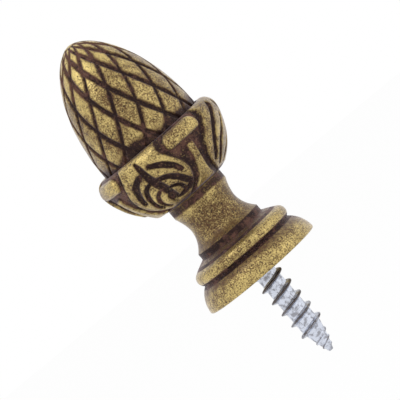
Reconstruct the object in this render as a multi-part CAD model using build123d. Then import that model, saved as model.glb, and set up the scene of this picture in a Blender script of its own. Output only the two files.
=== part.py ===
from build123d import *
import os
from math import cos, degrees, radians, sin, sqrt, tan

# Acorn finial for a curtain pole: one brass casting on a zinc-plated hanger screw.
# Frame: origin at the centre of the foot's flat underside, +Z up through the acorn's tip.
# Lengths are in millimetres and angles in degrees. An angle round the axis is counted from -Y towards +X.

# Foot
foot_radius = 12.85
foot_edge_round = 0.25
foot_height = 4.9
foot_top_radius = 10.35
foot_bulge = 0.68

# Ring above the foot, and the slope from it up to the neck
ring_radius = 11.05
ring_height = 2.6
ring_shoulder_radius = 10.35
slope_height = 1.5
slope_bulge = 0.1

# Neck and collar
neck_root_radius = 7.4
neck_root_height = 1.3
waist_radius = 5.4
waist_drop = 4.3
waist_rise = 3.5
neck_lower_fullness = 0.24
neck_upper_fullness = 0.33
neck_top_radius = 6.3
collar_radius = 6.35
collar_height = 2.1

# Leaf cup
cup_height = 12.65
cup_radius = 14.2
cup_crest_height = 10.2
leaf_rim_radius = 11.8
ground_rim_radius = 11.7
cup_lip_radius = 11.55
rim_groove_depth = 0.9

# Leaves
leaf_count = 4
leaf_thickness = 0.8
leaf_foot_clearance = 0.15
vein_depth = 0.6
vein_lift = 0.4
vein_end_share = 0.35

# Curled pads between the leaves, and their stems
pad_width = 8.8
pad_height = 3.5
pad_proud = 0.15
pad_rise = 0.1
pad_belly_height = 0.7
pad_lower_edge = 0.55
pad_corner_round = 1.3
stem_sink = 0.15
stem_top_half_width = 1.05
stem_half_width = 0.75
stem_foot_half_width = 1.7
stem_foot_height = 0.9

# Nut and its lattice of crossing grooves
nut_radius = 11.25
nut_height = 23.85
lattice_count = 13
lattice_lean_at_rim = 33.0
lattice_lean_at_tip = 17.0
lattice_crossing_angle = 24.0
lattice_crossing_height = 2.7
lattice_broad_width = 1.15
lattice_fine_width = 0.85
lattice_depth = 0.4
lattice_lift = 0.3
lattice_tip_margin = 1.0
lattice_full_radius = 6.5
lattice_least_share = 0.35

# Tapped hole in the foot
thread_end_radius = 2.5
thread_end_length = 11.0
thread_end_bevel = 0.4
hole_spare_depth = 1.0
hole_mouth_radius = 3.3
drill_point_angle = 118.0

# Wood screw
screw_length = 20.2
shank_radius = 2.1
thread_radius = 3.0
thread_pitch = 2.84
thread_start = 0.9
thread_end_gap = 1.6
thread_root_width = 1.5
thread_crest_width = 0.35
thread_sink = 0.3
thread_start_angle = 78.0
point_length = 5.2
point_radius = 0.3

# Heights that follow from the sizes above
slope_base = foot_height + ring_height
neck_root_base = slope_base + slope_height
neck_base = neck_root_base + neck_root_height
waist_at = neck_base + waist_drop
collar_base = waist_at + waist_rise
cup_base = collar_base + collar_height
cup_crest = cup_base + cup_crest_height
cup_rim = cup_base + cup_height
tip_at = cup_rim + nut_height
pad_base = cup_rim + pad_rise - pad_height
mouth_depth = hole_mouth_radius - thread_end_radius

# Powers of the rounded forms, which say how full their shoulders are
nut_start_power = 1.7
nut_end_power = 2.05
bowl_power = 1.55
leaf_power = 1.75
ground_power = 1.55

# Half outline of a leaf: share of the cup's height, half angle there
leaf_outline = [
    (0.96, 21.5),
    (0.83, 20.5),
    (0.68, 25.5),
    (0.52, 31.0),
    (0.36, 33.5),
    (0.20, 31.0),
    (0.10, 24.0),
    (0.04, 17.0),
]

# Veins of a leaf: width, then stations of angle from the leaf's middle and share of the cup's height
leaf_veins = [
    (1.0, [(-3.5, 0.90), (0.0, 0.80), (1.5, 0.68), (2.0, 0.54), (4.0, 0.40), (5.5, 0.27), (5.0, 0.14)]),
    (1.3, [(6.5, 0.77), (13.5, 0.70), (21.0, 0.58), (26.0, 0.44), (28.0, 0.30)]),
    (1.0, [(3.5, 0.56), (11.5, 0.50), (18.5, 0.39), (23.5, 0.28)]),
    (0.8, [(6.5, 0.35), (12.5, 0.31), (16.0, 0.21), (15.5, 0.11)]),
    (1.4, [(-8.5, 0.77), (-15.5, 0.65), (-20.5, 0.50), (-24.0, 0.36)]),
    (1.0, [(-0.5, 0.57), (-9.5, 0.51), (-15.5, 0.41), (-19.0, 0.27), (-19.0, 0.17)]),
    (0.8, [(-4.0, 0.38), (-9.5, 0.33), (-13.0, 0.21), (-12.0, 0.11)]),
]


def rounded_rise(share, start_power, end_power):
    """A rise from 0 to 1 that is steep at first and ends level."""
    return (1 - (1 - share) ** end_power) ** (1 / start_power)


def nut_surface(height):
    """Radius of the plain nut, which is a cylinder where the cup hides it."""
    share = min((tip_at - height) / nut_height, 1)
    return nut_radius * rounded_rise(share, nut_start_power, nut_end_power)


def bowl_surface(height, radius, rim_radius, start_power):
    """Radius of a bowl that opens from the collar to its crest and turns in again at the cup's rim."""
    if height <= cup_crest:
        share = (height - cup_base) / cup_crest_height
        return collar_radius + (radius - collar_radius) * rounded_rise(share, start_power, bowl_power)
    share = min((height - cup_crest) / (cup_rim - cup_crest), 1)
    return rim_radius + (radius - rim_radius) * sqrt(1 - share**2)


def leaf_surface(height):
    return bowl_surface(height, cup_radius, leaf_rim_radius, leaf_power)


def ground_surface(height):
    return bowl_surface(height, cup_radius - leaf_thickness, ground_rim_radius, ground_power)


def stem_surface(height):
    return leaf_surface(height) - stem_sink


def evenly(low, high, count):
    """Evenly spaced values from low to high."""
    return [low + (high - low) * step / (count - 1) for step in range(count)]


def polar(radius, angle, height):
    """The point at a radius, an angle round the axis and a height."""
    return Vector(radius * sin(radians(angle)), -radius * cos(radians(angle)), height)


def surface_normal(surface, angle, height):
    """Outward normal of a turned surface, from the slope of its outline."""
    step = 0.05
    slope = (surface(height + step) - surface(height - step)) / (2 * step)
    return (polar(1, angle, 0) - Vector(0, 0, slope)).normalized()


def line(*points):
    """Straight edges in the XZ plane through points of radius and height."""
    return Polyline(*[(radius, 0, height) for radius, height in points])


def arc(start, middle, end):
    """An arc in the XZ plane through three points of radius and height."""
    return ThreePointArc(*[(radius, 0, height) for radius, height in (start, middle, end)])


def spun(*edges):
    """The solid of a closed outline in the XZ plane, turned about the axis."""
    return revolve(make_face(Curve() + list(edges)), Axis.Z, 360)


def repeated(shape, count, start_angle=0):
    """Copies of a shape, evenly spaced round the axis."""
    return [Rot(0, 0, start_angle + 360 * number / count) * shape for number in range(count)]


def bowl_edge(surface, low):
    """Outline of a cup surface from a height up to the rim, closer together where it bends most."""
    below = [low + (cup_crest - low) * share**2 for share in evenly(0, 1, 6)]
    above = [cup_crest + (cup_rim - cup_crest) * sin(radians(angle)) for angle in (30, 60, 90)]
    return Spline(*[(surface(height), 0, height) for height in below + above])


def low_edges():
    """Outline of the foot, ring, neck and collar, from the axis up to the cup."""
    flat_end = foot_radius - foot_edge_round
    round_middle = (flat_end + foot_edge_round * sqrt(0.5), foot_edge_round * (1 - sqrt(0.5)))
    flare_middle = ((foot_radius + foot_top_radius) / 2 + foot_bulge, (foot_edge_round + foot_height) / 2)
    slope_middle = (
        (ring_shoulder_radius + neck_root_radius) / 2 + slope_bulge,
        (slope_base + neck_root_base) / 2,
    )
    lower_middle = waist_radius + (neck_root_radius - waist_radius) * neck_lower_fullness
    upper_middle = waist_radius + (neck_top_radius - waist_radius) * neck_upper_fullness
    return [
        line((0, 0), (flat_end, 0)),
        arc((flat_end, 0), round_middle, (foot_radius, foot_edge_round)),
        arc((foot_radius, foot_edge_round), flare_middle, (foot_top_radius, foot_height)),
        arc(
            (foot_top_radius, foot_height),
            (ring_radius, foot_height + ring_height / 2),
            (ring_shoulder_radius, slope_base),
        ),
        arc((ring_shoulder_radius, slope_base), slope_middle, (neck_root_radius, neck_root_base)),
        line((neck_root_radius, neck_root_base), (neck_root_radius, neck_base)),
        arc((neck_root_radius, neck_base), (lower_middle, waist_at - waist_drop / 2), (waist_radius, waist_at)),
        arc((waist_radius, waist_at), (upper_middle, waist_at + waist_rise / 2), (neck_top_radius, collar_base)),
        line((neck_top_radius, collar_base), (collar_radius, collar_base), (collar_radius, cup_base)),
    ]


def high_edges():
    """Outline of the cup's ground, the groove inside its rim and the nut, up to the tip and back down the axis."""
    nut_foot = cup_rim - rim_groove_depth
    nut_heights = [tip_at - nut_height * share**2 for share in evenly(1, 0, 7)]
    return [
        bowl_edge(ground_surface, cup_base),
        line(
            (ground_surface(cup_rim), cup_rim),
            (cup_lip_radius, cup_rim),
            (nut_radius, nut_foot),
            (nut_radius, cup_rim),
        ),
        Spline(*[(nut_surface(height), 0, height) for height in nut_heights]),
        line((0, tip_at), (0, 0)),
    ]


def groove_tool(surface, path, width, depth, lift, shares):
    """A V-shaped cutter that follows angles and heights on a turned surface, finer where its share is small."""
    points = [polar(surface(height), angle, height) for angle, height in path]
    spine = Spline(*points)
    sections = []
    for point, (angle, height), share in zip(points, path, shares):
        normal = surface_normal(surface, angle, height)
        along = spine.tangent_at(spine.param_at_point(point))
        half_width = share * width / 2 * (1 + lift / (share * depth))
        top = point + normal * lift
        side = along.cross(normal).normalized() * half_width
        sections.append(Wire.make_polygon([point - normal * share * depth, top + side, top - side], close=True))
    return Solid.make_loft(sections)


def lattice_turn(low, high):
    """Angle that a groove turns through between two heights on the nut, as its lean changes on the way up."""
    slices = 60
    step = (high - low) / slices
    turn = 0
    for number in range(slices):
        height = low + step * (number + 0.5)
        share = (height - cup_rim) / nut_height
        lean = lattice_lean_at_tip + (lattice_lean_at_rim - lattice_lean_at_tip) * (1 - share) ** 2
        slope = (nut_surface(height - 0.01) - nut_surface(height + 0.01)) / 0.02
        turn += degrees(tan(radians(lean)) * sqrt(1 + slope**2) * step / nut_surface(height))
    return turn


def lattice_tool(hand, width):
    """One lattice groove, which gets finer towards the tip as the diamonds do."""
    low = cup_rim - rim_groove_depth / 2
    high = tip_at - lattice_tip_margin
    crossing = cup_rim + lattice_crossing_height
    heights = [high - (high - low) * share**1.6 for share in evenly(1, 0, 11)]
    path = [(lattice_crossing_angle - hand * lattice_turn(crossing, height), height) for height in heights]
    shares = [min(1, max(lattice_least_share, nut_surface(height) / lattice_full_radius)) for height in heights]
    return groove_tool(nut_surface, path, width, lattice_depth, lattice_lift, shares)


def lattice_cut(casting):
    """The casting with both families of grooves cut into its nut, one family after the other."""
    for hand, width in ((1, lattice_broad_width), (-1, lattice_fine_width)):
        casting = casting.cut(*repeated(lattice_tool(hand, width), lattice_count))
    return casting


def radial_prism(half_outline):
    """A prism that runs outwards along -Y, with an outline mirrored about the middle."""
    right = [(across, 0, height) for across, height in half_outline]
    left = [(-across, 0, height) for across, height in half_outline[::-1]]
    outline = Curve() + [Spline(*right), Line(right[-1], left[0]), Spline(*left), Line(left[-1], right[0])]
    return extrude(make_face(outline), amount=2 * cup_radius, dir=(0, -1, 0))


def cup_shell(surface, low):
    """A turned shell of the cup, from a surface well into the casting's body."""
    inside = collar_radius - leaf_thickness
    return spun(
        bowl_edge(surface, low),
        line((surface(cup_rim), cup_rim), (cup_lip_radius, cup_rim), (inside, low), (surface(low), low)),
    )


def vein_tool(width, path):
    """The cutter of one vein, which thins out at both ends."""
    stations = [(angle, cup_base + share * cup_height) for angle, share in path]
    shares = [vein_end_share] + [1] * (len(path) - 2) + [vein_end_share]
    return groove_tool(leaf_surface, stations, width, vein_depth, vein_lift, shares)


def leaf():
    """One leaf of the cup: a shell of the bowl trimmed to the leaf's outline, with its veins carved in."""
    low = cup_base + leaf_foot_clearance
    half_outline = []
    for share, angle in leaf_outline:
        height = cup_base + share * cup_height
        half_outline.append((leaf_surface(height) * sin(radians(angle)), height))
    top = (half_outline[0][0], cup_rim + leaf_foot_clearance)
    blank = cup_shell(leaf_surface, low) & radial_prism([top] + half_outline)
    for width, path in leaf_veins:
        blank = blank - vein_tool(width, path)
    return blank


def pad():
    """A leaf tip that is curled outwards between two leaves: a ring of rounded section with rounded ends."""
    inner = (cup_lip_radius + ground_rim_radius) / 2
    outer = cup_radius + pad_proud
    top = pad_base + pad_height
    belly = pad_base + pad_belly_height
    brow = sqrt(0.5)
    brow_point = (leaf_rim_radius + (outer - leaf_rim_radius) * brow, belly + (top - belly) * brow)
    edge_middle = (outer - pad_lower_edge * (1 - brow), belly - pad_belly_height * brow)
    ring = spun(
        line((inner, pad_base), (outer - pad_lower_edge, pad_base)),
        arc((outer - pad_lower_edge, pad_base), edge_middle, (outer, belly)),
        arc((outer, belly), brow_point, (leaf_rim_radius, top)),
        line((leaf_rim_radius, top), (inner, top), (inner, pad_base)),
    )
    trim = Plane.XZ * Pos(0, pad_base + pad_height / 2) * RectangleRounded(pad_width, pad_height, pad_corner_round)
    return ring & extrude(trim, amount=2 * cup_radius)


def stem():
    """The stem of a curled pad, which spreads at its foot."""
    low = cup_base + stem_foot_height
    middle = (low + pad_base) / 2
    half_outline = [
        (stem_top_half_width, pad_base + pad_height / 2),
        (stem_half_width, middle),
        (stem_half_width, (low + middle) / 2),
        (stem_foot_half_width, low),
    ]
    return cup_shell(stem_surface, cup_base + leaf_foot_clearance) & radial_prism(half_outline)


def tapped_hole():
    """The blind hole in the foot, with a bevelled mouth and a drill point."""
    depth = thread_end_length + hole_spare_depth
    point_depth = thread_end_radius / tan(radians(drill_point_angle / 2))
    return spun(
        line(
            (0, 0),
            (hole_mouth_radius, 0),
            (thread_end_radius, mouth_depth),
            (thread_end_radius, depth),
            (0, depth + point_depth),
            (0, 0),
        )
    )


def finial_casting():
    """The whole brass casting."""
    casting = lattice_cut(spun(*low_edges(), *high_edges()))
    half_step = 180 / leaf_count
    relief = repeated(leaf(), leaf_count)
    relief += repeated(stem(), leaf_count, half_step)
    relief += repeated(pad(), leaf_count, half_step)
    return casting.fuse(*relief) - tapped_hole()


def wood_thread():
    """The ridge of the wood thread, right-handed, cut back to a taper at the screw's point."""
    length = screw_length - thread_start - thread_end_gap
    helix = Rot(0, 0, thread_start_angle) * Pos(0, 0, -thread_start - length) * Helix(thread_pitch, length, shank_radius)
    rise = thread_radius - shank_radius
    profile = Polygon(
        (-thread_sink, -thread_root_width / 2),
        (rise, -thread_crest_width / 2),
        (rise, thread_crest_width / 2),
        (-thread_sink, thread_root_width / 2),
        align=None,
    )
    start = helix @ 0
    section = Plane(origin=start, x_dir=Vector(start.X, start.Y, 0), z_dir=helix % 0)
    ridge = sweep(section * profile, path=helix, is_frenet=True)
    reach = thread_radius + thread_sink
    taper_end = thread_end_gap / 4 - screw_length
    envelope = spun(
        line(
            (0, taper_end),
            (point_radius + thread_crest_width / 2, taper_end),
            (reach, point_length - screw_length),
            (reach, 0),
            (0, 0),
            (0, taper_end),
        )
    )
    return ridge & envelope


def hanger_screw():
    """The screw: a machine-threaded end inside the foot, a short shank and the wood thread with its point."""
    core = spun(
        line(
            (0, -screw_length),
            (point_radius, -screw_length),
            (shank_radius, point_length - screw_length),
            (shank_radius, mouth_depth),
            (thread_end_radius, mouth_depth),
            (thread_end_radius, thread_end_length - thread_end_bevel),
            (thread_end_radius - thread_end_bevel, thread_end_length),
            (0, thread_end_length),
            (0, -screw_length),
        )
    )
    return core.fuse(wood_thread())


def main():
    os.makedirs("parts", exist_ok=True)
    export_step(finial_casting(), "parts/finial_casting.step")
    export_step(hanger_screw(), "parts/hanger_screw.step")


main()
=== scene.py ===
from math import cos, radians, sin

import bpy
import numpy as np
from mathutils import Matrix, Vector


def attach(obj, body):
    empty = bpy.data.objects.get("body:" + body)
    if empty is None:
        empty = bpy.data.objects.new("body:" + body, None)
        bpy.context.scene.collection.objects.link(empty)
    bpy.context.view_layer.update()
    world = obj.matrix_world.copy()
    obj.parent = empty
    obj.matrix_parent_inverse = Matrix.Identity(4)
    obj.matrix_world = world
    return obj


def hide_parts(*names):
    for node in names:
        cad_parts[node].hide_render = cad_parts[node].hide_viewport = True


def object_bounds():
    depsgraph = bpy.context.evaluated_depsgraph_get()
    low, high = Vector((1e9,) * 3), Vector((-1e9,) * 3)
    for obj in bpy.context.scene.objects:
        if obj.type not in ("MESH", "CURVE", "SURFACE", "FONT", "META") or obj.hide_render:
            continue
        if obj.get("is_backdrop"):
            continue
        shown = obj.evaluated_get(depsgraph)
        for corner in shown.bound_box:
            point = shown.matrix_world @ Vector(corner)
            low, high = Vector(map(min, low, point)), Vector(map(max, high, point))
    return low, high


bl_info = {
    "name": "Acorn Finial",
    "version": (1, 0, 0),
    "blender": (4, 5, 0),
    "location": "3D View > Sidebar > Finial",
    "description": "Models an antique brass acorn finial and its wood screw around their packed frame",
    "category": "Object",
}

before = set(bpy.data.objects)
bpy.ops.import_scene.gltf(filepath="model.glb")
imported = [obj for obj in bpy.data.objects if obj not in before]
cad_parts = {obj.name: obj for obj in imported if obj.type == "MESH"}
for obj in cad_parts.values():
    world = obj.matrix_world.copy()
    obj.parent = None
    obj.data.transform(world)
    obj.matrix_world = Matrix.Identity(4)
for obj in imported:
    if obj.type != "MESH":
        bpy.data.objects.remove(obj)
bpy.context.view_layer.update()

MM = 0.001
TURN = 360.0
WAVE = 6.28

# The photo's frame: what it spans at the object, where the object's axis passes, and how that axis leans
photo_width = 400
mm_per_pixel = 0.191
centre_height = 18.0
centre_offset = -0.27
camera_turn = 21.5
camera_rise = 3.2
axis_lean = 40.9


def length(name, description, millimetres):
    """A size in the sidebar, in metres."""
    return bpy.props.FloatProperty(
        name=name, description=description, default=millimetres * MM, unit="LENGTH"
    )


def colour(name, description, default):
    """A surface colour, given as it looks on screen."""
    return bpy.props.FloatVectorProperty(
        name=name, description=description, default=default, size=3, min=0.0, max=1.0, subtype="COLOR_GAMMA"
    )


class FinialSizes(bpy.types.PropertyGroup):
    """Sizes of the finial's visible forms."""

    nut_radius: length("Nut radius", "Radius of the nut where the cup holds it", 11.25)
    nut_height: length("Nut height", "From the cup's rim to the nut's tip", 23.85)
    groove_width: length("Groove width", "Width of the nut's broader grooves", 1.15)
    groove_depth: length("Groove depth", "Depth of the nut's broader grooves", 0.42)
    fine_groove_width: length("Fine groove width", "Width of the grooves that cross the broader ones", 0.85)
    fine_groove_depth: length("Fine groove depth", "Depth of the grooves that cross the broader ones", 0.34)
    cup_height: length("Cup height", "From the collar to the cup's rim", 12.65)
    cup_radius: length("Cup radius", "Radius over the leaves at their crest", 14.2)
    leaf_thickness: length("Leaf thickness", "How far the leaves stand out of the cup's ground", 0.8)
    vein_depth: length("Vein depth", "Depth of the veins in a leaf", 0.6)
    pad_proud: length("Pad height", "How far a curled pad stands out past the leaves", 0.15)
    foot_radius: length("Foot radius", "Radius of the foot at its edge", 12.85)
    thread_radius: length("Thread radius", "Radius over the wood thread's crests", 3.0)
    core_radius: length("Core radius", "Radius of the screw between its threads", 2.1)
    thread_pitch: length("Thread pitch", "Advance of the wood thread in one turn", 2.84)


class FinialColours(bpy.types.PropertyGroup):
    """Colours of the finial's finishes."""

    brass: colour("Brass", "Rubbed brass on the high places", (0.84, 0.745, 0.475))
    brown: colour("Browned brass", "Brass browned in specks and beside hollows", (0.33, 0.205, 0.12))
    # Patina, which also colours painted shade in the dark bands and creases
    patina_and_shade: colour("Patina", "Dark reddish brown in the hollows", (0.16, 0.075, 0.065))
    umber: colour("Umber", "Paler brown clouds in the hollows", (0.41, 0.28, 0.235))
    sheen: colour("Sheen", "Pale bloom that shows at grazing angles", (0.86, 0.80, 0.84))
    zinc: colour("Zinc", "Bright plating of the screw", (0.87, 0.89, 0.94))
    # Dull zinc colours the scuffs and the painted shade on the thread's flanks
    scuffed_and_shaded_zinc: colour("Dull zinc", "Dull plating on the screw's thread", (0.39, 0.36, 0.36))
    floor: colour("Floor", "Floor under the finial", (0.93, 0.93, 0.93))


def rounded_rise(share, start_power, end_power):
    """A rise from 0 to 1 that is steep at first and ends level."""
    return (1 - (1 - np.clip(share, 0, 1)) ** end_power) ** (1 / start_power)


def smooth_step(value, low, high):
    """0 below low, 1 above high and smooth between them."""
    share = np.clip((value - low) / (high - low), 0, 1)
    return share * share * (3 - 2 * share)


def sunkenness(inside, halo=0.6):
    """How deep in a hollow a point is: 1 well inside, a half at its edge and 0 past its brown halo."""
    return np.clip(0.5 + inside / (2 * halo), 0, 1)


def wrapped(angle, period):
    """The angle's distance from the nearest multiple of the period."""
    return (angle + period / 2) % period - period / 2


def evenly(points, spacing):
    """Points a given distance apart along a chain of radius and height, with both ends kept."""
    points = np.asarray(points, float)
    along = distances_along(points)
    places = np.linspace(0, along[-1], max(2, int(round(along[-1] / spacing)) + 1))
    return np.column_stack([np.interp(places, along, points[:, axis]) for axis in (0, 1)])


def joined(*chains):
    """Chains of points end to end, without the points that they share."""
    outline = [chains[0]]
    for chain in chains[1:]:
        outline.append(chain[1:] if np.allclose(outline[-1][-1], chain[0]) else chain)
    return np.vstack(outline)


def arc(start, middle, end, count=60):
    """Points on the circle through three points of radius and height."""
    (ax, ay), (bx, by), (cx, cy) = start, middle, end
    spread = 2 * (ax * (by - cy) + bx * (cy - ay) + cx * (ay - by))
    squares = [x * x + y * y for x, y in (start, middle, end)]
    centre_x = (squares[0] * (by - cy) + squares[1] * (cy - ay) + squares[2] * (ay - by)) / spread
    centre_y = (squares[0] * (cx - bx) + squares[1] * (ax - cx) + squares[2] * (bx - ax)) / spread
    angles = np.unwrap([np.arctan2(y - centre_y, x - centre_x) for x, y in (start, middle, end)])
    swept = np.linspace(angles[0], angles[2], count)
    radius = np.hypot(ax - centre_x, ay - centre_y)
    return np.column_stack([centre_x + radius * np.cos(swept), centre_y + radius * np.sin(swept)])


def eased(outline, spacing, reach):
    """An outline with its corners rounded by averaging over a short reach, and both ends kept."""
    outline = evenly(outline, spacing)
    half = max(1, int(round(reach / spacing)))
    padded = np.pad(outline, ((half, half), (0, 0)), mode="edge")
    window = np.ones(2 * half + 1) / (2 * half + 1)
    smooth = np.column_stack([np.convolve(padded[:, axis], window, mode="valid") for axis in (0, 1)])
    smooth[0], smooth[-1] = outline[0], outline[-1]
    return smooth


def outline_place(outline, point):
    """Distance along an outline to its point nearest a radius and height."""
    along = distances_along(outline)
    return along[np.hypot(outline[:, 0] - point[0], outline[:, 1] - point[1]).argmin()]


def distances_along(outline):
    """How far each point of an outline is from its first, along it."""
    return np.concatenate([[0], np.cumsum(np.hypot(*np.diff(outline, axis=0).T))])


# Points of a sheet's border nearer than this are one point, in metres
merge_distance = 1e-6

# How much of a relief stands where the surface faces straight up, and what facing out adds
least_standing = 0.15
added_standing = 0.85


class Skin:
    """A closed turned solid, and the places of its points on its outline and round the axis.

    The outline is a chain of radius and height in millimetres. It runs from the axis at the bottom, round
    the outside, to the axis at the top, so that a grid rolled up round the axis has its normals outward.
    """

    def __init__(self, name, outline, steps):
        rings = len(outline) - 1
        bpy.ops.object.select_all(action="DESELECT")
        bpy.ops.mesh.primitive_grid_add(x_subdivisions=steps, y_subdivisions=rings, size=1, calc_uvs=False)
        self.obj = bpy.context.object
        self.obj.name = self.obj.data.name = name
        self.mesh = self.obj.data
        sheet = self.corners()[:, :2] + 0.5
        column, row = np.rint(sheet * (steps, rings)).astype(int).T
        turn = np.radians(TURN * column / steps)
        radius, height = outline[row].T
        self.place(np.column_stack([radius * np.sin(turn), -radius * np.cos(turn), height]))
        self.mark("row", row)
        self.close((column % steps == 0) | (row % rings == 0))
        stored = np.empty(len(self.mesh.vertices))
        self.mesh.attributes["row"].data.foreach_get("value", stored)
        self.mesh.attributes.remove(self.mesh.attributes["row"])
        row = np.rint(stored).astype(int)
        self.points = self.corners() / MM
        self.angle = np.degrees(np.arctan2(self.points[:, 0], -self.points[:, 1]))
        self.radius, self.height = outline[row].T
        along = distances_along(outline)
        slopes = np.gradient(outline, along, axis=0)
        slopes /= np.hypot(*slopes.T)[:, None]
        self.along = along[row]
        self.out_radial, self.out_up = slopes[row, 1], -slopes[row, 0]
        self.standing = least_standing + added_standing * self.out_radial

    def corners(self):
        """The mesh's points, in metres."""
        places = np.empty(len(self.mesh.vertices) * 3)
        self.mesh.vertices.foreach_get("co", places)
        return places.reshape(-1, 3)

    def place(self, points):
        """Moves every point to a place given in millimetres."""
        self.mesh.vertices.foreach_set("co", (points * MM).ravel())

    def close(self, border):
        """Merges the sheet's border points, which meet in a seam and at both ends of the axis."""
        bpy.ops.object.mode_set(mode="EDIT")
        bpy.ops.mesh.select_mode(type="VERT")
        bpy.ops.mesh.select_all(action="DESELECT")
        bpy.ops.object.mode_set(mode="OBJECT")
        self.mesh.vertices.foreach_set("select", border)
        bpy.ops.object.mode_set(mode="EDIT")
        bpy.ops.mesh.remove_doubles(threshold=merge_distance)
        bpy.ops.object.mode_set(mode="OBJECT")

    def raise_by(self, rise):
        """Moves every point along the outline's normal by a distance in millimetres."""
        turn = np.radians(self.angle)
        outward = np.column_stack([np.sin(turn), -np.cos(turn), self.out_up])
        outward[:, :2] *= self.out_radial[:, None]
        self.points = self.points + outward * rise[:, None]
        self.place(self.points)

    def mark_finish(self, hollow, tarnish_and_shading):
        """Stores how hollow each point is and how browned, from 0 to 1, for the material to read; in places
        these carry painted light and shade.
        """
        for name, values in (("hollow", hollow), ("tarnish_and_shading", tarnish_and_shading)):
            self.mark(name, np.clip(values, 0, 1))

    def mark(self, name, values):
        """Stores one number for each point, for the material to read."""
        layer = self.mesh.attributes.new(name, "FLOAT", "POINT")
        layer.data.foreach_set("value", values.astype(np.float32))


ripple_waves = 6


def ripple(skin, scale, seed):
    """A smooth unevenness from -1 to 1, made of a few waves round and along the casting."""
    draw = np.random.default_rng(seed)
    total = np.zeros_like(skin.height)
    for _ in range(ripple_waves):
        turns = draw.integers(1, 9)
        rise = draw.uniform(-1, 1) / scale
        phase = draw.uniform(0, WAVE)
        total += np.sin(np.radians(skin.angle) * turns + skin.height * rise * WAVE + phase)
    return total / ripple_waves


def finished(skin, material, node):
    """Smooth shading, a material, and the piece's place in the frame."""
    bpy.ops.object.select_all(action="DESELECT")
    skin.obj.select_set(True)
    bpy.context.view_layer.objects.active = skin.obj
    bpy.ops.object.shade_smooth()
    skin.mesh.materials.append(material)
    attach(skin.obj, "root")
    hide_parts(node)


# Heights of the casting, from its foot upwards
foot_height = 4.9
ring_top = 7.5
neck_root = 9.0
neck_base = 10.3
waist = 14.6
collar_base = 18.1
cup_base = 20.2
rim_groove_depth = 0.9

# Nut: how full it is, its lattice, and where two of its grooves cross in the photo
nut_start_power = 1.7
nut_end_power = 2.05
lattice_count = 13
lean_at_rim = 33.0
lean_at_tip = 17.0
crossing_angle = 24.0
crossing_rise = 2.7

# Grooves: wander in degrees, width, where they narrow, and floor, edge and stain as shares of the width
groove_wander = 0.5
groove_mean_width = 0.95
groove_width_wander = 0.15
groove_full_radius = 5.5
groove_least_share = 0.35
groove_floor_share = 0.14
groove_edge_share = 0.56
groove_stain_share = 0.43
groove_halo = 0.5

# Points that a smooth surface or a groove's path is worked out at
fine_count = 4000
chain_count = 3000

# The nut's hidden seat in the cup, how far its skin keeps inside the solid, and its mesh
nut_seat_depth = 0.6
nut_seat_inset = 0.3
nut_inset = 0.03
nut_dent = 0.03
nut_spacing = 0.145
nut_hidden_spacing = 1.5
nut_steps = 480

# How far below the rim the nut's relief starts and is full, and the radii where it fades at the tip
relief_start = 1.0
relief_full = 0.6
tip_fade_radii = (0.5, 1.6)

# The nut's dark band above the rim, patina with painted shadow, its reach and wander, and its browning,
# taken off towards the top as painted highlight
rim_stain_and_shade = 0.7
rim_stain_and_shade_reach = (0.2, 3.2)
rim_stain_and_shade_wander = 1.6
nut_browned = 0.6
nut_browned_wander = 0.4
nut_top_highlight = 0.7


class Nut:
    """The nut's turned surface and the paths of its grooves."""

    def __init__(self, sizes):
        self.radius = sizes.nut_radius / MM
        self.height = sizes.nut_height / MM
        self.rim = cup_base + sizes.cup_height / MM
        self.tip = self.rim + self.height
        heights = np.linspace(self.rim - 2, self.tip - 0.02, fine_count)
        radii = self.radius_at(heights)
        slopes = np.gradient(radii, heights)
        turns = np.tan(np.radians(self.lean_at(heights))) * np.sqrt(1 + slopes**2) / radii
        swept = np.concatenate([[0], np.cumsum(np.degrees(turns[:-1]) * np.diff(heights))])
        self.heights = heights
        self.turns = swept - np.interp(self.rim + crossing_rise, heights, swept)

    def radius_at(self, height):
        return self.radius * rounded_rise((self.tip - height) / self.height, nut_start_power, nut_end_power)

    def lean_at(self, height):
        share = np.clip((height - self.rim) / self.height, 0, 1)
        return lean_at_tip + (lean_at_rim - lean_at_tip) * (1 - share) ** 2

    def groove(self, skin, hand, width, depth):
        """Depth of one family of grooves at each point, and how much of a groove each point is."""
        period = TURN / lattice_count
        line = crossing_angle - hand * np.interp(skin.height, self.heights, self.turns)
        line = line + groove_wander * ripple(skin, 30, 11 + hand)
        offset = wrapped(skin.angle - line, period)
        across = np.abs(np.radians(offset)) * skin.radius * np.cos(np.radians(self.lean_at(skin.height)))
        taper = np.clip(skin.radius / groove_full_radius, groove_least_share, 1)
        width = width * taper * (groove_mean_width + groove_width_wander * ripple(skin, 5, 31 + hand))
        share = 1 - smooth_step(across / width, groove_floor_share, groove_edge_share)
        return depth * taper * share, sunkenness(groove_stain_share * width - across, groove_halo * taper)

    def outline(self, spacing):
        heights = self.tip - self.height * np.linspace(1, 0, chain_count) ** 2
        surface = np.column_stack([self.radius_at(heights), heights])
        floor = self.rim - rim_groove_depth - nut_seat_depth
        seat = [(0, floor), (self.radius - nut_seat_inset, floor), (self.radius, self.rim)]
        return joined(evenly(seat, nut_hidden_spacing), evenly(surface, spacing))


def join_depths(first, second):
    """The deeper of two carvings, rounded where they are alike."""
    return (first**4 + second**4) ** 0.25


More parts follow.
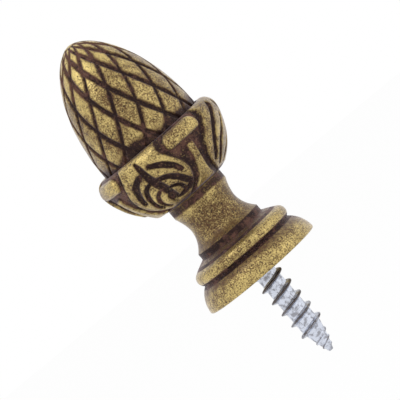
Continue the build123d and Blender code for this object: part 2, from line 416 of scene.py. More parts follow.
class FINIAL_OT_nut(bpy.types.Operator):
    """Turn the nut and carve its lattice of crossing grooves"""

    bl_idname = "finial.nut"
    bl_label = "Acorn nut"

    def execute(self, context):
        sizes = context.scene.finial_sizes
        nut = Nut(sizes)
        skin = Skin("acorn_nut", nut.outline(nut_spacing), nut_steps)
        broad, broad_stain = nut.groove(skin, 1, sizes.groove_width / MM, sizes.groove_depth / MM)
        fine, fine_stain = nut.groove(skin, -1, sizes.fine_groove_width / MM, sizes.fine_groove_depth / MM)
        shown = smooth_step(skin.height, nut.rim - relief_start, nut.rim - relief_full)
        tip_fade = smooth_step(skin.radius, *tip_fade_radii)
        dents = nut_dent * ripple(skin, 4, 3) * smooth_step(skin.radius, 1, 5)
        skin.raise_by(-(join_depths(broad, fine) * tip_fade + nut_inset + dents) * shown)
        above_rim = skin.height - nut.rim
        # Dark band above the cup's rim: patina with painted shadow where the nut goes into the cup
        wander = rim_stain_and_shade_wander * ripple(skin, 6, 17)
        low_stain_and_shade = rim_stain_and_shade * (1 - smooth_step(above_rim + wander, *rim_stain_and_shade_reach))
        stain_and_shade = np.maximum(np.maximum(broad_stain, fine_stain) * tip_fade, low_stain_and_shade)
        # Painted highlight: less browning towards the nut's top
        painted_top_highlight = nut_top_highlight * smooth_step(above_rim, nut.height / 2, nut.height)
        browned = nut_browned + nut_browned_wander * ripple(skin, 9, 41) - painted_top_highlight
        skin.mark_finish(stain_and_shade, browned)
        finished(skin, antique_brass("nut_brass", browning=0.1), "finial_casting")
        return {"FINISHED"}


# A leaf: share of the cup's height and half angle of its outline there, from its foot to its top
leaf_outline = [(0.00, 11.0), (0.04, 17.0), (0.10, 24.0), (0.20, 31.0), (0.36, 33.5)]
leaf_outline += [(0.52, 31.0), (0.68, 25.5), (0.83, 20.5), (0.93, 20.5), (1.02, 23.5)]

# Veins of a leaf: widths at the start, middle and end, then stations of angle and share of the cup's height
leaf_veins = [
    (
        (0.7, 1.8, 1.6),
        [(-1.7, 0.90), (-0.2, 0.82), (0.2, 0.67), (0.6, 0.55), (2.2, 0.44), (3.4, 0.32), (3.1, 0.18)],
    ),
    ((1.1, 1.5, 1.1), [(6.6, 0.76), (12.9, 0.70), (18.3, 0.63), (23.1, 0.54), (25.8, 0.45)]),
    ((1.0, 1.4, 1.5), [(3.7, 0.54), (10.6, 0.50), (15.5, 0.44), (20.6, 0.35), (25.8, 0.23)]),
    ((0.9, 1.4, 1.1), [(4.0, 0.12), (12.0, 0.13), (20.0, 0.14), (26.0, 0.18)]),
    ((0.7, 0.9, 0.8), [(7.6, 0.33), (12.2, 0.31), (16.2, 0.25), (17.4, 0.19), (15.8, 0.12)]),
    ((1.0, 1.6, 1.2), [(-4.3, 0.73), (-10.7, 0.69), (-16.5, 0.60), (-21.0, 0.48), (-24.3, 0.37)]),
    (
        (0.8, 1.1, 0.9),
        [(-0.5, 0.57), (-8.7, 0.53), (-14.2, 0.435), (-18.3, 0.32), (-20.2, 0.21), (-19.6, 0.15)],
    ),
    ((0.7, 0.9, 0.7), [(-3.5, 0.38), (-8.8, 0.33), (-13.1, 0.24), (-14.0, 0.16), (-12.3, 0.09)]),
    ((0.5, 0.6, 0.4), [(2.3, 0.28), (-1.5, 0.23), (-2.5, 0.17), (-1.0, 0.09)]),
]

# A vein's floor, edge and stain as shares of its width, and the reach of its brown halo
vein_floor_share = 0.12
vein_edge_share = 0.62
vein_stain_share = 0.48
vein_halo = 0.4

# A leaf's edge: its slant and wander, where its body rises and its veins start, how far its stain reaches
# in, and how far outside it the ground lies open
leaf_edge_slant = 0.9
leaf_edge_wander = 0.1
leaf_edge_rise = (-0.25, 0.35)
vein_start = (0.0, 0.3)
leaf_edge_stain = 0.1
open_ground_reach = (0.4, 1.2)

# The leaf that the photo shows at the right has straighter veins
side_leaf = 1
side_leaf_veins = [
    ((1.2, 1.5, 1.2), [(-2.0, 0.86), (-9.4, 0.70), (-16.4, 0.53), (-21.0, 0.37), (-23.5, 0.22)]),
    ((0.8, 1.2, 0.9), [(8.0, 0.66), (-0.4, 0.50), (-9.2, 0.36), (-14.0, 0.22), (-14.5, 0.12)]),
    ((0.6, 0.9, 0.8), [(17.0, 0.42), (9.0, 0.29), (1.0, 0.18), (-2.0, 0.10)]),
    ((0.8, 1.1, 0.8), [(10.0, 0.84), (17.0, 0.70), (22.0, 0.55), (25.0, 0.38)]),
]

# A curled pad between two leaves, above and below the level where it is widest, and its stem
pad_half_width = 4.25
pad_upper_height = 1.8
pad_lower_height = 1.2
pad_rise = -0.45
pad_upper_corner = 1.8
pad_lower_corner = 1.0
pad_edge_round = 0.75
# Where the pad's edge darkens, and how far: patina in the crease and painted shadow under the pad
pad_edge_patina_and_shadow = 0.05
pad_shadow_halo = 0.3
least_pad = 0.12
stem_outline = [(0.04, 2.6), (0.08, 2.2), (0.16, 1.4), (0.30, 0.98)]
stem_outline += [(0.46, 0.86), (0.60, 0.86), (0.66, 0.70)]
stem_edge_rise = (-0.15, 0.3)
stem_foot_rise = (0.0, 0.08)
stem_top = 0.65
stem_top_fade = 0.03
stem_lift = 0.62
stem_edge_stain = 0.1
stem_halo = 0.4

# Cup: its collar and rim, and how full the ground and the leaves are
collar_radius = 6.35
crest_rise = 10.2
leaf_rim_radius = 11.8
ground_rim_radius = 11.7
ground_start_power = 1.55
leaf_start_power = 1.75
bulge_end_power = 1.55

# The cup's lip and its hidden faces, how far its skin keeps inside the solid, and its mesh
lip_radius = 11.55
lip_slant = 0.4
cup_floor_depth = 0.2
cup_under = 0.5
under_inset = 0.6
under_corner = 0.25
cup_inset = 0.02
cup_corner_reach = 0.15
cup_spacing = 0.14
cup_hidden_spacing = 2
cup_steps = 600

# The cup's browning, its wander, what the open ground away from the leaves' edges has less, and how far up
# from its foot the cup is darkened
cup_browned = 0.6
cup_browned_wander = 0.4
open_ground_lightening = 0.5
cup_foot_darkening = (0.2, 1.2)


class Cup:
    """The cup's surfaces and the relief of its leaves, pads and stems."""

    def __init__(self, sizes):
        self.height = sizes.cup_height / MM
        self.rim = cup_base + self.height
        self.leaf_crest = sizes.cup_radius / MM
        self.thickness = sizes.leaf_thickness / MM
        self.pad_proud = sizes.pad_proud / MM
        self.vein_depth = sizes.vein_depth / MM

    def bulge(self, height, crest, rim_radius, start_power):
        """Radius of a surface that swells from the collar to its crest and closes in to the rim."""
        rise = rounded_rise((height - cup_base) / crest_rise, start_power, bulge_end_power)
        over = np.clip((height - cup_base - crest_rise) / (self.height - crest_rise), 0, 1)
        closing = rim_radius + (crest - rim_radius) * np.sqrt(1 - over**2)
        return np.where(over > 0, closing, collar_radius + (crest - collar_radius) * rise)

    def ground(self, height):
        """Radius of the ground that the leaves stand on."""
        return self.bulge(height, self.leaf_crest - self.thickness, ground_rim_radius, ground_start_power)

    def leaf_reach(self, height):
        """Radius of the leaves' outer surface."""
        return self.bulge(height, self.leaf_crest, leaf_rim_radius, leaf_start_power)

    def outline(self, spacing):
        heights = cup_base + self.height * np.linspace(0, 1, chain_count) ** 2
        ground = np.column_stack([self.ground(heights), heights])
        bottom = cup_base - cup_under
        under_edge = (collar_radius - under_inset, bottom)
        under = [(0, bottom), under_edge, (collar_radius - under_corner, cup_base)]
        floor = (lip_radius - lip_slant, self.rim - rim_groove_depth - cup_floor_depth)
        lip = evenly([(ground_rim_radius, self.rim), (lip_radius, self.rim), floor], spacing)
        inside = evenly([floor, (0, floor[1])], cup_hidden_spacing)
        shown = eased(joined(ground, lip), spacing, cup_corner_reach)
        return joined(evenly(under, cup_hidden_spacing), shown, inside)

    def place(self, angle, share, along_at):
        """A station of a leaf laid out flat: distance round from its middle and along the surface."""
        height = cup_base + share * self.height
        return np.radians(angle) * self.ground(height), np.interp(height, *along_at)


def smooth_path(points, count=8):
    """A smooth curve through points, as a finer chain."""
    points = np.asarray(points, float)
    ends = np.vstack([2 * points[0] - points[1], points, 2 * points[-1] - points[-2]])
    chain = []
    for number in range(len(points) - 1):
        a, b, c, d = ends[number : number + 4]
        for share in np.arange(count) / count:
            bend = (2 * a - 5 * b + 4 * c - d) * share**2
            twist = (3 * b - a - 3 * c + d) * share**3
            chain.append(0.5 * (2 * b + (c - a) * share + bend + twist))
    chain.append(points[-1])
    return np.array(chain)


def distance_to_path(across, along, path):
    """Distance of flat points from a path, and how far along the path each one is, from 0 to 1."""
    best = np.full(len(across), 1e9)
    place = np.zeros(len(across))
    for number in range(len(path) - 1):
        (ax, ay), (bx, by) = path[number], path[number + 1]
        run_x, run_y = bx - ax, by - ay
        share = np.clip(((across - ax) * run_x + (along - ay) * run_y) / (run_x**2 + run_y**2), 0, 1)
        gap = np.hypot(across - ax - share * run_x, along - ay - share * run_y)
        nearer = gap < best
        best[nearer] = gap[nearer]
        place[nearer] = (number + share[nearer]) / (len(path) - 1)
    return best, place


def leaf_relief(cup, skin, along_at):
    """The leaves' height above the ground, how hollow each point is, and where the ground lies open."""
    share = (skin.height - cup_base) / cup.height
    side = wrapped(skin.angle, TURN / 4)
    across = np.radians(side) * skin.radius
    half_angle = np.interp(share, *smooth_path(leaf_outline).T)
    margin = np.radians(half_angle - np.abs(side)) * skin.radius * leaf_edge_slant
    margin = margin + leaf_edge_wander * ripple(skin, 4, 21)
    thickness = (cup.leaf_reach(skin.height) - skin.radius) * skin.standing
    body = np.clip(thickness, 0, None) * smooth_step(margin, *leaf_edge_rise)
    depth = np.zeros_like(body)
    stain_and_shade = np.zeros_like(body)
    on_side_leaf = np.rint(skin.angle / (TURN / 4)) == side_leaf
    veins = [(vein, ~on_side_leaf) for vein in leaf_veins]
    veins += [(vein, on_side_leaf) for vein in side_leaf_veins]
    for (widths, stations), here in veins:
        path = smooth_path([cup.place(angle, place, along_at) for angle, place in stations], 5)
        gap, place = distance_to_path(across, skin.along, path)
        width = np.interp(place, [0, 0.45, 1], widths)
        cut = 1 - smooth_step(gap / width, vein_floor_share, vein_edge_share)
        depth = join_depths(depth, cup.vein_depth * here * cut)
        stain_and_shade = np.maximum(stain_and_shade, here * sunkenness(vein_stain_share * width - gap, vein_halo))
    depth = depth * smooth_step(margin, *vein_start)
    stain_and_shade = np.maximum(stain_and_shade, sunkenness(leaf_edge_stain - margin))
    return body - depth, stain_and_shade, smooth_step(-margin, *open_ground_reach)


def pad_relief(cup, skin):
    """Height of the curled pads above the ground, and how hollow each point round them is, as patina with
    painted shadow under the pads.
    """
    side = wrapped(skin.angle - TURN / 8, TURN / 4)
    across = np.abs(np.radians(side)) * skin.radius
    rise = skin.height - (cup.rim + pad_rise - pad_upper_height)
    corner = np.where(rise > 0, pad_upper_corner, pad_lower_corner)
    past_side = across - (pad_half_width - corner)
    past_end = np.abs(rise) - (np.where(rise > 0, pad_upper_height, pad_lower_height) - corner)
    gap = np.hypot(np.clip(past_side, 0, None), np.clip(past_end, 0, None))
    inside = corner - gap - np.clip(np.maximum(past_side, past_end), None, 0)
    swell = np.sqrt(1 - (1 - np.clip(inside / pad_edge_round, 0, 1)) ** 2)
    thickness = (cup.leaf_reach(skin.height) + cup.pad_proud - skin.radius) * skin.standing
    return np.clip(thickness, least_pad, None) * swell, sunkenness(pad_edge_patina_and_shadow - inside, pad_shadow_halo)


def stem_relief(cup, skin):
    """Height of the stems under the pads, and how hollow each point beside them is."""
    share = (skin.height - cup_base) / cup.height
    side = wrapped(skin.angle - TURN / 8, TURN / 4)
    across = np.abs(np.radians(side)) * skin.radius
    half_width = np.interp(share, *smooth_path(stem_outline).T)
    inside = smooth_step(half_width - across, *stem_edge_rise) * smooth_step(share, *stem_foot_rise)
    inside = inside * (1 - smooth_step(share, stem_top - stem_top_fade, stem_top + stem_top_fade))
    past_edge = np.maximum(across - half_width, (share - stem_top) * cup.height)
    return stem_lift * inside, sunkenness(past_edge + stem_edge_stain, stem_halo)


class FINIAL_OT_cup(bpy.types.Operator):
    """Turn the cup and raise its leaves, curled pads and stems"""

    bl_idname = "finial.cup"
    bl_label = "Leaf cup"

    def execute(self, context):
        cup = Cup(context.scene.finial_sizes)
        outline = cup.outline(cup_spacing)
        skin = Skin("leaf_cup", outline, cup_steps)
        shown = skin.along < outline_place(outline, (ground_rim_radius, cup.rim))
        shown &= skin.height >= cup_base + 0.001
        ground_rows = (outline[:, 1] > cup_base) & (outline[:, 1] < cup.rim - 0.02)
        along_at = (outline[ground_rows, 1], distances_along(outline)[ground_rows])
        leaves, leaf_stain, open_ground = leaf_relief(cup, skin, along_at)
        pads, pad_patina_and_shadow = pad_relief(cup, skin)
        stems, stem_stain = stem_relief(cup, skin)
        rise = np.maximum(np.maximum(leaves, stems), pads) * shown
        # Darkness of the ground: patina, with painted shadow round the pads
        stain_and_shade = np.minimum(leaf_stain, np.minimum(pad_patina_and_shadow, stem_stain))
        rise = rise - np.where(shown, cup_inset, 0) * (1 + ripple(skin, 4, 5))
        skin.raise_by(rise)
        # Darker towards the cup's foot
        stain_and_shade = np.maximum(stain_and_shade, 1 - smooth_step(skin.height - cup_base, *cup_foot_darkening))
        # Less browning on the open ground away from the leaves' edges
        browned = cup_browned - open_ground_lightening * open_ground * stain_and_shade
        wander = cup_browned_wander * ripple(skin, 7, 43)
        skin.mark_finish(stain_and_shade, browned + wander)
        brass = antique_brass("cup_brass", browning=-0.1, halo_share=0.5)
        finished(skin, brass, "finial_casting")
        return {"FINISHED"}


def bell(value, middle, half_width):
    """1 at the middle, falling smoothly to 0 at half a width away."""
    return 1 - smooth_step(np.abs(value - middle) / half_width, 0.35, 1.0)


# Neck, ring and foot: radii where their curves meet, and how far each swells or hollows past its chord
foot_edge_round = 0.25
groove_radius = 10.35
ring_radius = 11.05
root_radius = 7.4
waist_radius = 5.4
neck_top_radius = 6.3
foot_swell = 0.68
slope_swell = 0.1
lower_neck_hollow = 0.52
upper_neck_hollow = 0.153

# The hole for the screw: its radii and depths, and the hidden top inside the cup
hole_radius = 2.5
hole_depth = 12.0
hole_point = 13.5
countersink_radius = 3.3
countersink_depth = 0.8
hidden_top_radius = 5.0
hidden_top_rise = 0.3

# How uneven the turned surface is, and its mesh
base_dent = 0.035
base_corner_reach = 0.16
base_spacing = 0.12
base_hidden_spacing = 1.5
hole_spacing = 1.2
base_steps = 260

# Dark bands of patina and painted shade under the cup and in the base's hollows: the middle's height, half
# the width and how dark, and how dark the hole is
patina_and_shade_bands = [
    (cup_base - 0.9, 1.25, 0.62),
    (neck_root + 0.6, 1.1, 1.0),
    (foot_height, 0.8, 1.0),
    (neck_root - 0.35, 0.75, 0.48),
    (neck_root - 0.9, 0.35, 0.85),
    (neck_base + 0.4, 1.4, 0.35),
    (foot_height - 0.6, 1.5, 0.42),
]
hole_stain = 0.8

# Browning of the base and its wander, and what the neck and the foot have more, as bands; the neck's extra
# browning is partly painted dark reflection
base_browned = 0.25
base_browned_wander = 0.2
browning_and_reflection_bands = [((neck_root + collar_base) / 2, 5.5, 0.45), (foot_height - 1.2, 2.0, 0.25)]


def swelled(start, end, swell):
    """An arc between two points of radius and height that stands a given way out at its middle."""
    middle = ((start[0] + end[0]) / 2 + swell, (start[1] + end[1]) / 2)
    return arc(start, middle, end)


def base_outline(foot):
    """The outline from the bottom of the hole, over the foot, ring and neck, to the collar's top."""
    edge = foot - foot_edge_round
    edge_middle = foot_edge_round * (1 - np.sqrt(0.5))
    lower_groove, upper_groove = (groove_radius, foot_height), (groove_radius, ring_top)
    root, base = (root_radius, neck_root), (root_radius, neck_base)
    middle, top = (waist_radius, waist), (neck_top_radius, collar_base)
    mouth = [(hole_radius, countersink_depth), (countersink_radius, 0)]
    hole = [(0, hole_point), (hole_radius, hole_depth), *mouth]
    hidden_top = (hidden_top_radius, cup_base + hidden_top_rise)
    shown = joined(
        [(countersink_radius, 0), (edge, 0)],
        arc((edge, 0), (foot - edge_middle, edge_middle), (foot, foot_edge_round)),
        swelled((foot, foot_edge_round), lower_groove, foot_swell),
        arc(lower_groove, (ring_radius, (foot_height + ring_top) / 2), upper_groove),
        swelled(upper_groove, root, slope_swell),
        [root, base],
        swelled(base, middle, -lower_neck_hollow),
        swelled(middle, top, -upper_neck_hollow),
        [top, (collar_radius, collar_base), (collar_radius, cup_base), hidden_top],
    )
    inside = evenly([hidden_top, (0, hidden_top[1])], base_hidden_spacing)
    return joined(evenly(hole, hole_spacing), eased(shown, base_spacing, base_corner_reach), inside)


class FINIAL_OT_base(bpy.types.Operator):
    """Turn the collar, neck, ring and foot, with the hole for the screw in the foot"""

    bl_idname = "finial.base"
    bl_label = "Neck and foot"

    def execute(self, context):
        outline = base_outline(context.scene.finial_sizes.foot_radius / MM)
        skin = Skin("neck_and_foot", outline, base_steps)
        on_show = (skin.height > 0.05) & (skin.height < cup_base)
        on_show &= skin.radius > countersink_radius + 0.2
        dents = base_dent * (1 + ripple(skin, 3, 8))
        skin.raise_by(-dents * np.where(on_show, 1, 0))
        stain_and_shade = np.zeros_like(skin.height)
        # Dark bands of patina and painted shade
        for middle, half_width, strength in patina_and_shade_bands:
            stain_and_shade = np.maximum(stain_and_shade, strength * bell(skin.height, middle, half_width))
        stain_and_shade = np.where(skin.radius < countersink_radius + 0.1, hole_stain, stain_and_shade)
        browned = np.full_like(skin.height, base_browned)
        # More browning on the neck, partly painted dark reflection, and on the foot
        for middle, half_width, strength in browning_and_reflection_bands:
            browned += strength * bell(skin.height, middle, half_width)
        browned += base_browned_wander * ripple(skin, 5, 47)
        skin.mark_finish(stain_and_shade, browned)
        finished(skin, antique_brass("base_brass", browning=0.4), "finial_casting")
        return {"FINISHED"}


# Screw: its length below the foot, and the point, whose core widens in two steps
screw_length = 20.2
point_length = 5.7
point_radius = 0.45
point_middle_radius = 1.2
point_middle_rise = 2.2

# Thread: where it starts, its half widths, how it fades at both ends, and how low, fine and narrow it gets
thread_start = 0.9
thread_start_angle = 249.0
thread_root_half_width = 0.58
thread_crest_half_width = 0.05
thread_fade = (0.3, 1.6)
thread_run_out = (0.15, 1.1)
low_thread_rise = (3.8, 5.8)
low_thread_share = 0.32
fine_turn_rise = 2.8
least_narrowing = 0.35

# How dark the thread is at the foot, as painted shade on its flanks, how much less at the point, and how
# dark the point itself is
thread_painted_shade = 1.15
thread_painted_shade_loss = 0.6
point_darkness = 0.42
point_darkness_start = 0.8

# The screw's end inside the foot, and its mesh
shoulder_height = 0.8
hidden_radius = 2.5
hidden_end = 11.0
hidden_chamfer = 0.4
screw_corner_reach = 0.12
screw_spacing = 0.055
screw_hidden_spacing = 0.8
screw_steps = 112


class FINIAL_OT_screw(bpy.types.Operator):
    """Turn the screw's core and raise its right-handed wood thread"""

    bl_idname = "finial.screw"
    bl_label = "Hanger screw"

    def outline(self, core):
        """The core's outline, from its point to the end inside the foot."""
        tip, shoulder = -screw_length, (core, shoulder_height)
        point = [(0, tip), (point_radius, tip), (point_middle_radius, tip + point_middle_rise)]
        shown = [*point, (core, tip + point_length), shoulder]
        hidden = [
            shoulder,
            (hidden_radius, shoulder_height),
            (hidden_radius, hidden_end - hidden_chamfer),
            (hidden_radius - hidden_chamfer, hidden_end),
            (0, hidden_end),
        ]
        shown = eased(shown, screw_spacing, screw_corner_reach)
        return joined(shown, evenly(hidden, screw_hidden_spacing))

    def execute(self, context):
        sizes = context.scene.finial_sizes
        core, crest = sizes.core_radius / MM, sizes.thread_radius / MM
        pitch = sizes.thread_pitch / MM
        skin = Skin("hanger_screw_visual", self.outline(core), screw_steps)
        below, above_tip = -skin.height, skin.height + screw_length
        turns = (skin.angle - thread_start_angle) / TURN
        climb = skin.height + thread_start - turns * pitch
        offset = np.where(above_tip < fine_turn_rise, wrapped(climb, pitch / 2), wrapped(climb, pitch))
        taper = smooth_step(below, *thread_run_out) * smooth_step(above_tip, *thread_fade)
        narrowing = np.clip(above_tip / point_length, least_narrowing, 1)
        fullness = low_thread_share + (1 - low_thread_share) * smooth_step(above_tip, *low_thread_rise)
        ridge = 1 - smooth_step(np.abs(offset) / narrowing, thread_crest_half_width, thread_root_half_width)
        skin.raise_by((crest - core) * ridge * taper * fullness)
        down = below / screw_length
        # Painted shade on the thread's flanks, darker near the foot, stored as hollow for the plating
        shade_on_thread = ridge * taper * (thread_painted_shade - thread_painted_shade_loss * down)
        on_point = point_darkness * smooth_step(down, point_darkness_start, 1.0)
        skin.mark("hollow", shade_on_thread + on_point)
        finished(skin, zinc_plating(), "hanger_screw")
        return {"FINISHED"}


class Nodes:
    """The node tree of a material or a world, built one node at a time."""

    def __init__(self, owner):
        self.owner = owner
        owner.use_nodes = True
        self.tree = owner.node_tree
        self.tree.nodes.clear()

    def fill(self, socket, value):
        """Links a socket to another socket, or sets it to a value."""
        if isinstance(value, bpy.types.NodeSocket):
            self.tree.links.new(value, socket)
        else:
            socket.default_value = value

    def add(self, kind, inputs=None, **settings):
        """A node with its settings, and its inputs filled."""
        made = self.tree.nodes.new(kind)
        for name, value in settings.items():
            setattr(made, name, value)
        for name, value in (inputs or {}).items():
            self.fill(made.inputs[name], value)
        return made

    def noise(self, place, scale, detail, roughness):
        inputs = {"Vector": place, "Scale": scale, "Detail": detail, "Roughness": roughness}
        return self.add("ShaderNodeTexNoise", inputs).outputs["Fac"]

    def ramp(self, value, low, high, to_low=0.0, to_high=1.0, smooth=True):
        """A value mapped from one range to another and kept inside it."""
        inputs = {"Value": value, "From Min": low, "From Max": high, "To Min": to_low, "To Max": to_high}
        kind = "SMOOTHSTEP" if smooth else "LINEAR"
        return self.add("ShaderNodeMapRange", inputs, interpolation_type=kind).outputs["Result"]

    def mix(self, share, first, second):
        """A colour between two colours."""
        inputs = {0: share, 6: first, 7: second}
        return self.add("ShaderNodeMix", inputs, data_type="RGBA").outputs[2]

    def maths(self, operation, first, second=0.0):
        inputs = {0: first, 1: second}
        return self.add("ShaderNodeMath", inputs, operation=operation).outputs[0]

    def weighed(self, *terms):
        """The sum of values, each times its weight."""
        total = 0.0
        for value, weight in terms:
            total = self.maths("ADD", total, self.maths("MULTIPLY", value, weight))
        return total

    def white_seen(self):
        """1 for the rays that see a white background: the camera's, and those from gloss and glass."""
        rays = self.add("ShaderNodeLightPath").outputs
        seen = self.maths("MAXIMUM", rays["Is Camera Ray"], rays["Is Glossy Ray"])
        return self.maths("MAXIMUM", seen, rays["Is Transmission Ray"])

    def surface(self, **inputs):
        """The finished material."""
        named = {name.replace("_", " "): value for name, value in inputs.items()}
        shader = self.add("ShaderNodeBsdfPrincipled", named)
        self.add("ShaderNodeOutputMaterial", {"Surface": shader.outputs["BSDF"]})
        return self.owner


def scene_linear(colour_value):
    """A screen colour as the linear colour that a shader takes."""
    linear = [c / 12.92 if c <= 0.04045 else ((c + 0.055) / 1.055) ** 2.4 for c in colour_value]
    return (*linear, 1.0)


# Patterns of the brass, in cells to a metre, and its bump's height in metres
grain_scale = 3600
pit_scale = 2900
blotch_scale = 600
brass_bump = 0.00012

# Where the stain, its brass flecks, its clouds and the brass's pits set in, as values of the patterns
raggedness = 0.7
stain_edge = (0.40, 0.60)
fleck_edge = (0.60, 0.70)
fleck_share = 0.45
cloud_edge = (0.58, 0.80)
pit_edge = (0.29, 0.38)
pit_share = 0.8

# Specks of browned brass: how far more browning moves their threshold, its width, and how brown a speck is
speckle_shift = 0.14
speckle_width = 0.33
speckle_share = 0.95

# Patterns of the plating, in cells to a metre, and its bump's height in metres
zinc_blotch_scale = 1100
zinc_grain_scale = 3200
zinc_bump = 0.00006


def antique_brass(name, browning, halo_share=0.85):
    """Rubbed brass, browned in specks and clouds, with flecked dark patina and painted shade in its
    hollows.
    """
    colours = bpy.context.scene.finial_colours
    finishes = (colours.brass, colours.brown, colours.patina_and_shade, colours.umber, colours.sheen)
    brass, brown, patina_and_shade, umber, sheen = (scene_linear(value) for value in finishes)
    nodes = Nodes(bpy.data.materials.new(name))
    place = nodes.add("ShaderNodeTexCoord").outputs["Object"]
    hollow = nodes.add("ShaderNodeAttribute", attribute_name="hollow").outputs["Fac"]
    tarnish_and_shading = nodes.add("ShaderNodeAttribute", attribute_name="tarnish_and_shading").outputs["Fac"]
    grain = nodes.noise(place, grain_scale, detail=4.0, roughness=0.7)
    pits = nodes.noise(place, pit_scale, detail=2.0, roughness=0.5)
    blotch = nodes.noise(place, blotch_scale, detail=4.0, roughness=0.65)

    # Dark stain in the hollows, patina with painted shade in places, with a ragged edge, brass flecks in it
    # and a brown halo round it
    ragged = nodes.weighed((hollow, 1.0), (blotch, raggedness), (grain, raggedness))
    edge = nodes.maths("SUBTRACT", ragged, raggedness)
    fleck = nodes.ramp(pits, *fleck_edge, 0.0, fleck_share)
    stain_and_shade = nodes.maths("SUBTRACT", nodes.ramp(edge, *stain_edge), fleck)
    stain_and_shade = nodes.ramp(stain_and_shade, 0.0, 1.0, smooth=False)
    halo = nodes.ramp(edge, 0.0, 0.5, 0.0, halo_share)

    # Brown specks and small dark pits in the rubbed brass
    wear = nodes.weighed((grain, 1.0), (blotch, -0.4), (tarnish_and_shading, -0.25))
    speckle_start = speckle_shift * browning
    speckle = nodes.ramp(wear, speckle_start, speckle_start + speckle_width, speckle_share, 0.0)
    sunk = nodes.weighed((pits, 1.0), (tarnish_and_shading, -0.09))
    pit = nodes.ramp(sunk, *pit_edge, pit_share, 0.0)
    browned = nodes.maths("MAXIMUM", speckle, halo)
    base = nodes.mix(pit, nodes.mix(browned, brass, brown), patina_and_shade)

    # Paler clouds in the stain
    cloud = nodes.weighed((blotch, 1.0), (grain, 0.5), (tarnish_and_shading, -0.3))
    deep = nodes.mix(nodes.ramp(cloud, *cloud_edge), patina_and_shade, umber)

    # The darker, the duller and the less metallic
    dark = nodes.maths("MAXIMUM", stain_and_shade, nodes.maths("MULTIPLY", browned, 0.5))
    relief = nodes.maths("ADD", nodes.maths("MULTIPLY", grain, 0.6), nodes.ramp(pits, 0.28, 0.42))
    bump = nodes.add("ShaderNodeBump", {"Height": relief, "Strength": 0.8, "Distance": brass_bump})
    return nodes.surface(
        Base_Color=nodes.mix(stain_and_shade, base, deep),
        Metallic=nodes.ramp(dark, 0.0, 1.0, 1.0, 0.25, smooth=False),
        Roughness=nodes.ramp(dark, 0.0, 1.0, 0.28, 0.6, smooth=False),
        Normal=bump.outputs["Normal"],
        Specular_IOR_Level=0.2,
        Coat_Weight=nodes.ramp(stain_and_shade, 0.0, 1.0, 0.3, 0.12, smooth=False),
        Coat_Roughness=0.3,
        Sheen_Weight=0.45,
        Sheen_Roughness=0.35,
        Sheen_Tint=sheen,
    )


def zinc_plating():
    """Bright zinc plating with dull scuffs, and painted shade that darkens the thread."""
    colours = bpy.context.scene.finial_colours
    zinc, dull = scene_linear(colours.zinc), scene_linear(colours.scuffed_and_shaded_zinc)
    nodes = Nodes(bpy.data.materials.new("zinc_plating"))
    place = nodes.add("ShaderNodeTexCoord").outputs["Object"]
    thread = nodes.add("ShaderNodeAttribute", attribute_name="hollow").outputs["Fac"]
    blotch = nodes.noise(place, zinc_blotch_scale, detail=4.0, roughness=0.7)
    grain = nodes.noise(place, zinc_grain_scale, detail=2.0, roughness=0.6)
    mottle = nodes.maths("MULTIPLY", nodes.maths("SUBTRACT", blotch, 0.5), 1.2)
    # The thread's painted shade and a mottle darken the plating
    dark = nodes.ramp(nodes.maths("ADD", thread, mottle), 0.2, 0.95)
    scuff = nodes.ramp(blotch, 0.46, 0.62, 0.0, 0.6)
    bump = nodes.add("ShaderNodeBump", {"Height": grain, "Strength": 0.3, "Distance": zinc_bump})
    return nodes.surface(
        Base_Color=nodes.mix(nodes.maths("MAXIMUM", dark, scuff), zinc, dull),
        Metallic=0.9,
        Roughness=nodes.ramp(blotch, 0.3, 0.7, 0.30, 0.50, smooth=False),
        Normal=bump.outputs["Normal"],
    )


# Stage: the floor's size and its gap below the screw's point, in metres
floor_size = 1.6
floor_gap = 0.02

# How strongly the floor glows for the rays that see it white, how much of it, and the world's strengths
floor_glow = 1.04
floor_glow_share = 0.85
studio_strength = 0.8
white_strength = 1.0

# Lamps: metres from the finial's middle towards the camera, up and to the right, then the size and power
lamps = {
    "key_lamp": ((0.225, 0.425, -0.15), 0.16, 0.26),
    "fill_lamp": ((0.25, 0.05, 0.45), 0.5, 0.25),
}

# Camera: its distance in metres, its sensor in millimetres, and the nearest and farthest that it sees
camera_distance = 1.0
sensor_width = 36.0
camera_reach = (0.01, 10.0)


def view_basis():
    """The photo's leaning view: directions to the camera, level to the right, and right and up in it."""
    turn, rise, lean = radians(camera_turn), radians(camera_rise), radians(axis_lean)
    back = Vector((sin(turn) * cos(rise), -cos(turn) * cos(rise), sin(rise)))
    level = Vector((0, 0, 1)).cross(back).normalized()
    upright = back.cross(level)
    right = level * cos(lean) - upright * sin(lean)
    up = upright * cos(lean) + level * sin(lean)
    return back, level, right, up


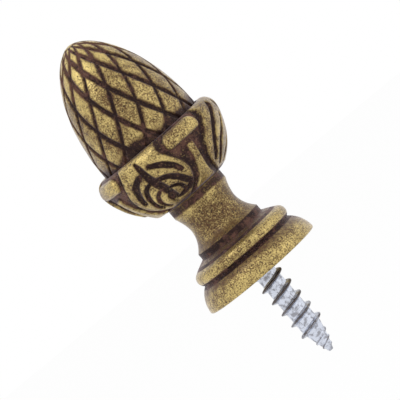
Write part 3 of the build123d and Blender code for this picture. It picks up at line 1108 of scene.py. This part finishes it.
def add_floor(low):
    """A plain pale floor below the screw's point, white for the rays that see the background."""
    bpy.ops.object.select_all(action="DESELECT")
    bpy.ops.mesh.primitive_plane_add(size=floor_size, location=(0, 0, low.z - floor_gap))
    floor = bpy.context.object
    floor.name = "floor"
    nodes = Nodes(bpy.data.materials.new("floor"))
    pale = scene_linear(bpy.context.scene.finial_colours.floor)
    matt = nodes.add("ShaderNodeBsdfDiffuse", {"Color": pale})
    glow = nodes.add("ShaderNodeEmission", {"Color": (1, 1, 1, 1), "Strength": floor_glow})
    share = nodes.maths("MULTIPLY", nodes.white_seen(), floor_glow_share)
    mixed = nodes.add("ShaderNodeMixShader", {"Fac": share, 1: matt.outputs[0], 2: glow.outputs[0]})
    nodes.add("ShaderNodeOutputMaterial", {"Surface": mixed.outputs[0]})
    floor.data.materials.append(nodes.owner)
    floor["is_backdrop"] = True


def add_world():
    """Soft light from all round, at full white where the background is seen."""
    world = bpy.data.worlds.new("studio")
    bpy.context.scene.world = world
    nodes = Nodes(world)
    strength = nodes.ramp(nodes.white_seen(), 0.0, 1.0, studio_strength, white_strength, smooth=False)
    background = nodes.add("ShaderNodeBackground", {"Color": (1, 1, 1, 1), "Strength": strength})
    nodes.add("ShaderNodeOutputWorld", {"Surface": background.outputs[0]})


def add_lamp(name, place, target, size, power):
    """A soft square lamp that faces the finial."""
    bpy.ops.object.light_add(type="AREA", location=place)
    lamp = bpy.context.object
    lamp.name = name
    lamp.data.size = size
    lamp.data.energy = power
    lamp.rotation_mode = "QUATERNION"
    lamp.rotation_quaternion = (Vector(target) - Vector(place)).to_track_quat("-Z", "Y")


def add_camera(back, level, right, up):
    """The photo's camera, framed on the finial's axis."""
    camera_data = bpy.data.cameras.new("photo_camera")
    camera_data.sensor_width = sensor_width
    camera_data.lens = sensor_width * camera_distance / (photo_width * mm_per_pixel * MM)
    camera_data.clip_start, camera_data.clip_end = camera_reach
    camera = bpy.data.objects.new("photo_camera", camera_data)
    bpy.context.scene.collection.objects.link(camera)
    target = Vector((0, 0, centre_height * MM)) + level * centre_offset * MM
    turn = Matrix((right, up, back)).transposed().to_4x4()
    camera.matrix_world = Matrix.Translation(target + back * camera_distance) @ turn
    bpy.context.scene.camera = camera


class FINIAL_OT_stage(bpy.types.Operator):
    """Set the floor, the soft light, the white background and the photo's camera"""

    bl_idname = "finial.stage"
    bl_label = "Stage"

    def execute(self, context):
        low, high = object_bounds()
        middle = (low + high) / 2
        add_floor(low)
        add_world()
        back, level, right, up = view_basis()
        for name, (reach, size, power) in lamps.items():
            place = middle + back * reach[0] + Vector((0, 0, reach[1])) + level * reach[2]
            add_lamp(name, place, middle, size, power)
        add_camera(back, level, right, up)
        context.scene.view_settings.view_transform = "Standard"
        return {"FINISHED"}


class FINIAL_PT_panel(bpy.types.Panel):
    """The finial's pieces, sizes and colours"""

    bl_idname = "FINIAL_PT_panel"
    bl_label = "Acorn finial"
    bl_space_type = "VIEW_3D"
    bl_region_type = "UI"
    bl_category = "Finial"

    def draw(self, context):
        for operator in operators:
            self.layout.operator(operator.bl_idname)
        for group in (context.scene.finial_sizes, context.scene.finial_colours):
            for name in group.__annotations__:
                self.layout.prop(group, name)


operators = (FINIAL_OT_nut, FINIAL_OT_cup, FINIAL_OT_base, FINIAL_OT_screw, FINIAL_OT_stage)
classes = (FinialSizes, FinialColours, *operators, FINIAL_PT_panel)


def register():
    for cls in classes:
        bpy.utils.register_class(cls)
    bpy.types.Scene.finial_sizes = bpy.props.PointerProperty(type=FinialSizes)
    bpy.types.Scene.finial_colours = bpy.props.PointerProperty(type=FinialColours)


def unregister():
    del bpy.types.Scene.finial_colours
    del bpy.types.Scene.finial_sizes
    for cls in reversed(classes):
        bpy.utils.unregister_class(cls)


def main():
    register()
    bpy.ops.finial.nut()
    bpy.ops.finial.cup()
    bpy.ops.finial.base()
    bpy.ops.finial.screw()
    bpy.ops.finial.stage()


if __name__ == "__main__":
    main()
